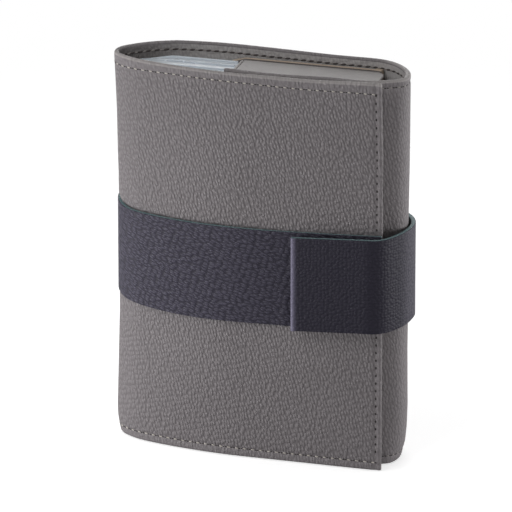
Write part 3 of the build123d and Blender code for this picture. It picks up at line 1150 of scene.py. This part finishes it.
strap_front = strap_sheet(
    "strap_front_skin", (0, strap_cover_cut), "strap_front", free_start=strap_edge_round,
)
strap_spine = strap_sheet(
    "strap_spine_skin", (strap_cover_cut, strap_spine_cut), "strap_spine_front", "strap_spine_rear",
)
strap_rear = strap_sheet("strap_back_skin", (strap_spine_cut, turn_cut), "strap_back")
strap_turn = strap_sheet("strap_turn_skin", (turn_cut, tail_begin), "strap_back")
strap_tail = strap_sheet("strap_tail_skin", (tail_begin, strap_end), "strap_tail", free_end=tail_fold_round)


# Low ribs along the top of the tray: one follows its back edge from the tip, the others are straight
tray_taper = 13.0
tray_tip_depth = 9.0
tray_shoulder_radius = 14.0
rib_start = 5.0
rib_taper = 9.0
rib_rise = 0.6
rib_sink = 0.4
rib_edge = 0.25
rib_tab_gap = 1.0
rib_stagger = 1.0
edge_rib_span = (0.3, 1.5)
rib_spans = ((5.2, 6.0), (9.6, 11.2))


def rib_lift(distance):
    return float(np.interp(distance, (0, rib_taper), (-rib_rise, 0)))


def add_tray_rib(name, place, run, depths):
    _, high = node_box("pill_tray")
    levels = (high[2] - rib_sink, high[2] + rib_rise)
    piece = sheet(
        name, (place, run), (0, length_of(run)), levels, depths, rib_edge, [tray_plastic],
        free_start=rib_edge, free_end=rib_edge, lift=rib_lift,
    )
    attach(piece, "back")


def add_tray_ribs():
    low, high = node_box("pill_tray")
    tab_low, _ = node_box("top_tab")
    stop = tab_low[0] - rib_tab_gap
    tip_back = (low[1] + high[1] + tray_tip_depth) / 2
    slope = math.degrees(math.atan2(high[1] - tip_back, tray_taper))
    tangent = tray_shoulder_radius * math.tan(math.radians(slope / 2))
    taper_length = math.hypot(high[1] - tip_back, tray_taper) - rib_start - tangent
    start = (low[0] + rib_start * cosine(slope), tip_back + rib_start * sine(slope), slope)
    straight = stop - (low[0] + tray_taper + tangent)
    add_tray_rib(
        "tray_rib_1", start, [(taper_length,), (tray_shoulder_radius, slope), (straight,)], edge_rib_span,
    )
    for number, depths in enumerate(rib_spans):
        left = low[0] + rib_start + number * rib_stagger
        add_tray_rib(f"tray_rib_{number + 2}", (left, high[1], 0), [(stop - left,)], depths)


add_tray_ribs()

# Hook and loop pads between the tail and the strap under it
pad_edge = 0.2
pad_corner = 1.5


def add_loop_pad():
    low, high = node_box("loop_pad")
    offset = cover_edge_x - high[0]
    piece = sheet(
        "loop_pad_skin", ((high[0], low[1], half_turn), [(high[0] - low[0],)]), (0, high[0] - low[0]),
        (low[2], high[2]), (0, pad_thickness), pad_edge, [loop_cloth],
        free_start=pad_edge, free_end=pad_edge, corner=pad_corner,
        lift=lambda distance: strap_lift(distance + offset),
    )
    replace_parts(piece, "loop_pad")
    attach(piece, "cover")


def add_hook_pad():
    low, high = node_box("hook_pad")
    end = strap_end - pad_inset
    piece = sheet(
        "hook_pad_skin", strap, (end - hook_pad_length, end), (low[2], high[2]),
        (strap_thickness, strap_thickness + pad_thickness), pad_edge, [hook_cloth()],
        free_start=pad_edge, free_end=pad_edge, corner=pad_corner, lift=strap_lift,
    )
    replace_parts(piece, "hook_pad")
    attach(piece, "strap_tail")


add_loop_pad()
add_hook_pad()


# The light tabs over and under the tray: sheets in the plane of y and z, with their levels along x
def add_tab(name, is_top):
    low, high = node_box(name)
    plate = high[1] - low[1]
    flange = high[2] - low[2]
    run = [(plate - tab_bend,), (tab_bend, quarter_turn), (flange - tab_bend,)]
    route = ((low[1], high[2], 0), run) if is_top else ((high[1], high[2], -quarter_turn), run[::-1])
    total = length_of(run)

    def trim(distance, left, right):
        gap = distance if is_top else total - distance
        gap = min(gap, max(plate - gap, 0), tab_corner)
        return left, right - tab_corner + math.sqrt(tab_corner ** 2 - (tab_corner - gap) ** 2)

    piece = sheet(
        f"{name}_skin", route, (0, total), (low[0], high[0]), (0, tab_thickness), tab_edge, [tab_face],
        free_start=tab_edge, free_end=tab_edge, trim=trim, axes=(1, 2, 0),
    )
    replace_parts(piece, name)
    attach(piece, "back")


add_tab("top_tab", True)
add_tab("bottom_tab", False)


def tab_stitching():
    low, high = node_box("top_tab")
    threads, holes = [], []
    x = low[0] + tab_row_inset
    for y in np.arange(low[1] + tab_row_margin, high[1] - tab_row_margin, tab_row_pitch):
        for forms, shift, size in ((threads, 0, tab_stitch), (holes, tab_row_pitch / 2, tab_hole)):
            centre = np.array([x, y + shift, high[2]])
            forms.append(centre + stitch_points[:, [1, 0, 2]] * np.array(size) / 2)
    piece = stitching("top_tab_stitches", threads, holes, [shaded_thread, hole_shade], lambda points: points)
    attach(piece, "back")


tab_stitching()


# The pocket's sheet, thick where its hem is sewn to the lining. It follows the back into the right end.
def add_pocket():
    low, high = node_box("document_pocket")
    depth = high[1] - low[1]
    end_x, end_y = right_x - right_end_radius, back_y - right_end_radius
    radius = low[1] - end_y
    start = (end_x + radius * sine(pocket_end_angle), end_y + radius * cosine(pocket_end_angle))
    run = [(-radius, -pocket_end_angle), (end_x - low[0],)]
    total = length_of(run)

    def trim(distance, bottom, top):
        past = max(pocket_corner_width - (total - distance), 0)
        return bottom, top - pocket_corner_drop * past / pocket_corner_width

    def hem_at(distance, level):
        at_side = min(distance, total - distance) < pocket_hem
        return np.where(at_side | (level < low[2] + pocket_hem), depth, pocket_thickness)

    piece = sheet(
        "document_pocket_skin", ((*start, half_turn - pocket_end_angle), run), (0, total), (low[2], high[2]),
        (0, depth), pocket_edge, pocket_faces, free_start=pocket_edge, free_end=pocket_edge, trim=trim,
        inner_depth=hem_at,
    )
    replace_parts(piece, "document_pocket")
    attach(piece, "back")


add_pocket()


def bend(pieces):
    for piece in pieces:
        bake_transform(piece)


cover_fold = locate(strap, strap_cover_end)
spine_fold = locate(strap, strap_fold_middle)
back_fold = locate(strap, strap_back_begin)
cover_pieces = [cover_skin, cover_inside, strap_front, *cover_stitches]
spine_pieces = [spine_skin, spine_inside, strap_spine, *spine_stitches]
back_pieces = [back_skin, back_inside, strap_rear, *back_stitches]
flap_pieces = [flap_skin, flap_inside, *flap_stitches]
bend(cover_pieces)
bend(spine_pieces)
bend(back_pieces)
bend(flap_pieces)
bend([strap_turn])
bend([strap_tail])

# Camera, as the photograph was taken
camera_azimuth = 16.1
camera_elevation = 19.85
camera_distance = 3000.0
camera_lens = 535.5
sensor = 36.0
view_depth = 100.0
aim_point = (2.15, -8.07, 80.44)
aim_shift = 2.36


def add_camera():
    right_way = Vector((cosine(camera_azimuth), sine(camera_azimuth), 0))
    flat = cosine(camera_elevation)
    back_way = Vector((sine(camera_azimuth) * flat, -cosine(camera_azimuth) * flat, sine(camera_elevation)))
    up_way = back_way.cross(right_way)
    aim = Vector(aim_point) - right_way * aim_shift + up_way * aim_shift
    data = bpy.data.cameras.new("camera")
    data.lens = camera_lens
    data.sensor_width = sensor
    data.clip_end = view_depth
    camera = put_in_scene("camera", data)
    camera.location = (aim + back_way * camera_distance) * MM
    camera.rotation_mode = "QUATERNION"
    camera.rotation_quaternion = (-back_way).to_track_quat("-Z", "Y")
    bpy.context.scene.camera = camera


add_camera()

# Floor, white surroundings and lights
pure_white = (1, 1, 1, 1)
floor_tone = (0.9, 0.9, 0.9, 1)
floor_glow = 0.6
floor_fade = (0.12, 0.5)
floor_radius = 1.2
floor_sides = 96
floor_drop = 0.0003
world_strength = 0.22

# Each light's name, place, aim, size and power, in metres and watts
lights = (
    ("key", (-0.29, -0.15, 0.035), (0, 0, 0.035), (0.2, 0.06), 0.68),
    ("high", (-0.18, -0.36, 0.48), (0, 0, 0.12), (0.3, 0.3), 0.9),
    ("fill", (0.6, 0.14, 0.08), (0.02, 0, 0.08), (0.5, 0.18), 2.2),
    ("rear", (-0.2, 0.6, 0.4), (0, 0, 0.08), (0.5, 0.5), 1.6),
)


def add_area_light(name, place, aim, size, power):
    data = bpy.data.lights.new(name, "AREA")
    data.shape = "RECTANGLE"
    data.size, data.size_y = size
    data.energy = power
    light = put_in_scene(name, data)
    light.location = place
    light.rotation_mode = "QUATERNION"
    light.rotation_quaternion = (Vector(aim) - Vector(place)).to_track_quat("-Z", "Y")


def add_floor():
    material = bpy.data.materials.new("floor")
    material.use_nodes = True
    tree = material.node_tree
    tree.nodes.clear()
    place = add_node(tree, "TexCoord").outputs["Object"]
    distance = add_node(tree, "VectorMath", {0: place}, operation="LENGTH").outputs["Value"]
    fade = ramp(distance, *floor_fade)
    solid = add_node(tree, "BsdfDiffuse", {"Color": floor_tone}).outputs[0]
    seen = add_node(tree, "LightPath").outputs["Is Camera Ray"]
    glow = {"Color": pure_white, "Strength": times(seen, floor_glow)}
    white = add_node(tree, "Emission", glow).outputs[0]
    lit = add_node(tree, "AddShader", {0: solid, 1: white}).outputs[0]
    clear = add_node(tree, "BsdfTransparent").outputs[0]
    mixed = add_node(tree, "MixShader", {0: fade, 1: lit, 2: clear}).outputs[0]
    add_node(tree, "OutputMaterial", {"Surface": mixed})
    turns = [2 * math.pi * side / floor_sides for side in range(floor_sides)]
    ring = [(floor_radius * math.cos(turn), floor_radius * math.sin(turn), 0) for turn in turns]
    mesh = bpy.data.meshes.new("floor")
    mesh.from_pydata(ring, [], [list(range(floor_sides))])
    mesh.materials.append(material)
    floor = put_in_scene("floor", mesh)
    floor.location.z = -floor_drop


def add_world():
    world = bpy.data.worlds.new("surroundings")
    bpy.context.scene.world = world
    world.use_nodes = True
    tree = world.node_tree
    tree.nodes.clear()
    path = add_node(tree, "LightPath")
    seen = plus(path.outputs["Is Camera Ray"], path.outputs["Is Glossy Ray"])
    seen = math_node("ADD", seen, path.outputs["Is Transmission Ray"], clamp=True)
    strength = add_node(tree, "Mix", {0: seen, 2: world_strength, 3: 1.0}).outputs[0]
    light = add_node(tree, "Background", {"Color": pure_white, "Strength": strength})
    add_node(tree, "OutputWorld", {"Surface": light.outputs[0]})


add_floor()
add_world()
for light in lights:
    add_area_light(*light)

bpy.context.scene.view_settings.view_transform = "Standard"
